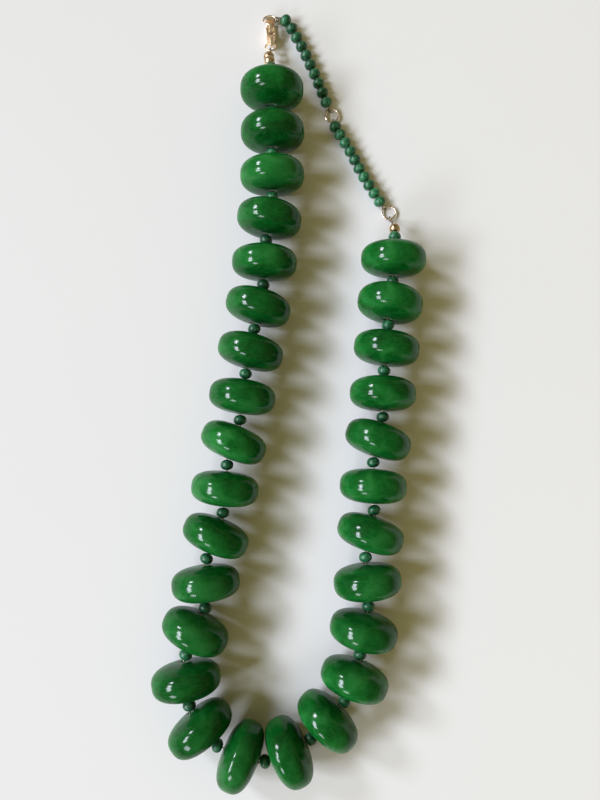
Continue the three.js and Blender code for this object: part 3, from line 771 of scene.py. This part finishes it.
# Large beads
bead_names = [f"bead_{number:02d}" for number in range(1, BEAD_COUNT + 1)]
beads = [stance(name) for name in bead_names]
middles = [centre for centre, _ in beads]
for index, (centre, axis) in enumerate(beads):
    onward = middles[min(index + 1, BEAD_COUNT - 1)] - middles[max(index - 1, 0)]
    if axis.dot(onward) < 0:
        beads[index] = (centre, -axis)
large = grow("large_beads", points_mesh("large_beads", beads), bead_tree,
             Diameter=BEAD_DIAMETER * MM, Length=BEAD_THICKNESS * MM, Roundness=BEAD_ROUNDNESS,
             Bore=BEAD_BORE * MM, Sides=64, Bands=34, Seed=4, Material=stone)
settle(large, "green_stone", *bead_names)

# Places chosen on the surface, shifted as the frame has them
middle_ring = stance("extender_ring_2")[0]
shift = middle_ring - Vector((*MIDDLE_RING, middle_ring.z))


def chosen(point, height=0.0):
    """A chosen place, shifted, with a height if it has none of its own."""
    return Vector((*point, height)[:3]) + shift


def link_on(ring, facing):
    """The middle and the axis of an eye that holds a jump ring, on the side that faces a place."""
    outward = facing - ring
    outward.z = 0
    outward.normalize()
    return ring + outward * RING_RADIUS, UP.cross(outward)


# Clasp frame, and the eyes at its tail and in its claw
heading = Vector((math.cos(CLASP_HEADING), math.sin(CLASP_HEADING), 0))
clasp_side = heading.cross(UP)
tail = chosen(CLASP_TAIL)
clasp_frame = Matrix.Translation(tail) @ Matrix((heading, UP, clasp_side)).transposed().to_4x4()
lug_eye = tail + heading * LUG_RADIUS + UP * LUG_HEIGHT
toward_string = (chosen(CLASP_LEAD[-1]) - lug_eye).normalized()
tail_ring_axis = clasp_side.cross(toward_string).normalized()
clasp_eye = (lug_eye + toward_string * 2 * CLASP_RING_RADIUS, toward_string.cross(tail_ring_axis))
last_ring, last_axis = stance("extender_ring_1")
fall = last_axis.cross(clasp_side)
fall *= 1 if fall.dot(heading) > 0 else -1
last_eye = (last_ring + clasp_side * RING_RADIUS, fall)

# Leads at both ends of the string
clasp_lead = Line([ends_of(beads[0], BEAD_THICKNESS)[0], *map(chosen, CLASP_LEAD), clasp_eye[0]])
outer_along = clasp_lead.length - EYE_RADIUS - CLASP_BARE_WIRE - GOLD_LENGTH / 2
inner_along = outer_along - GOLD_LENGTH - STRING_PLAY
clasp_gold = [clasp_lead.station(along) for along in (inner_along, outer_along)]
clasp_small = clasp_lead.station((inner_along - GOLD_LENGTH / 2) / 2)
end_ring = stance("extender_ring_3")[0]
extender_eye = link_on(end_ring, chosen(EXTENDER_LEAD[-1]))
extender_lead = Line([ends_of(beads[-1], BEAD_THICKNESS)[1], *map(chosen, EXTENDER_LEAD), extender_eye[0]])
small_along = EXTENDER_BARE_WIRE + SMALL_LENGTH / 2
gold_along = small_along + SMALL_LENGTH / 2 + EXTENDER_BEAD_GAP + GOLD_LENGTH / 2
extender_small, extender_gold = extender_lead.station(small_along), extender_lead.station(gold_along)

# String: its small beads, and the wire through everything from eye to eye
small_stations = [clasp_small]
mouth = ends_of(clasp_gold[1], GOLD_LENGTH)[1]
string = [mouth, *eye_loop(clasp_eye, clasp_gold[1][0]), mouth]
for station in reversed(clasp_gold):
    string += reversed(ends_of(station, GOLD_LENGTH))
string += reversed(ends_of(clasp_small, SMALL_LENGTH))
for before, after in zip(beads, beads[1:]):
    leave, enter = ends_of(before, BEAD_THICKNESS)[1], ends_of(after, BEAD_THICKNESS)[0]
    small_stations.append(((leave + enter) / 2, (enter - leave).normalized()))
for bead in beads:
    string += ends_of(bead, BEAD_THICKNESS)
small_stations.append(extender_small)
string += ends_of(extender_small, SMALL_LENGTH) + ends_of(extender_gold, GOLD_LENGTH)
string += [*eye_loop(extender_eye, extender_gold[0]), string[-1]]
wires = [string]

# Extender strands between the jump rings
bead_height = SMALL_DIAMETER / 2 + EXTENDER_LIFT
first_route, second_route = [
    [chosen(point, bead_height) for point in route] for route in (FIRST_ROUTE, SECOND_ROUTE)]
strand_ends = ((last_eye, link_on(middle_ring, first_route[-1])),
               (link_on(middle_ring, second_route[0]), link_on(end_ring, second_route[-1])))
reach = RING_HEIGHT + EYE_PLAY + SMALL_LENGTH / 2
for count, bare, route, (start_eye, stop_eye) in zip(
        EXTENDER_BEADS, EXTENDER_GAPS, (first_route, second_route), strand_ends):
    strand = Line([start_eye[0], *route, stop_eye[0]])
    step = (strand.length - 2 * reach - bare) / (count - 1)
    stations = [strand.station(reach + bare + index * step) for index in range(count)]
    small_stations += stations
    path = [place for station in stations for place in ends_of(station, SMALL_LENGTH)]
    wires.append([path[0], *eye_loop(start_eye, path[0]), *path, *eye_loop(stop_eye, path[-1]), path[-1]])

strand_names = [f"strand_{number}" for number in range(1, STRAND_COUNT + 1)]
strand_names += ["extender_strand_1", "extender_strand_2"]
small = grow("small_beads", points_mesh("small_beads", small_stations), bead_tree,
             Diameter=SMALL_DIAMETER * MM, Length=SMALL_LENGTH * MM, Roundness=SMALL_ROUNDNESS,
             Bore=SMALL_BORE * MM, Sides=28, Bands=18, Seed=9, Material=satin)
settle(small, "small_green_bead", *strand_names)
wire_meshes = [path_mesh("wire", points) for points in wires]
whole_path = bmesh.new()
for mesh in wire_meshes:
    whole_path.from_mesh(mesh)
    bpy.data.meshes.remove(mesh)
path = bpy.data.meshes.new("beading_wire")
whole_path.to_mesh(path)
whole_path.free()
wire = grow("beading_wire", path, wire_tree, Diameter=WIRE * MM, Sides=10, Material=steel)
settle(wire, "small_green_bead", *strand_names)

# Gold beads and rings
gold_stations = [clasp_gold[1], clasp_gold[0], extender_gold]
gold_beads = grow("gold_beads", points_mesh("gold_beads", gold_stations), bead_tree,
                  Diameter=GOLD_DIAMETER * MM, Length=GOLD_LENGTH * MM, Roundness=SMALL_ROUNDNESS,
                  Bore=GOLD_BORE * MM, Sides=48, Bands=28, Seed=2, Material=bead_gold)
settle(gold_beads, "gold", "gold_bead_1", "gold_bead_2", "gold_bead_3")
ring_names = ["extender_ring_1", "extender_ring_2", "extender_ring_3"]
rings = grow("jump_rings", points_mesh("jump_rings", [stance(name) for name in ring_names]), ring_tree,
             Diameter=RING_DIAMETER * MM, Wire=RING_WIRE * MM, Steps=90, Sides=20, Cut=RING_CUT * MM,
             Seed=3, Material=rose)
settle(rings, "gold", *ring_names)
tail_ring = grow("tail_ring", points_mesh("tail_ring", [stance("clasp_ring")]), ring_tree,
                 Diameter=CLASP_RING_DIAMETER * MM, Wire=CLASP_RING_WIRE * MM, Steps=80, Sides=20,
                 Cut=RING_CUT * MM, Seed=5, Material=gold)
settle(tail_ring, "gold", "clasp_ring")

# Clasp
claw = add_clasp_piece("clasp_claw", claw_mesh(), clasp_frame, gold)
settle(claw, "gold", "clasp_body")
lever = add_clasp_piece("clasp_lever_arm", lever_mesh(), clasp_frame, gold)
settle(lever, "gold", "clasp_lever", body="lever")
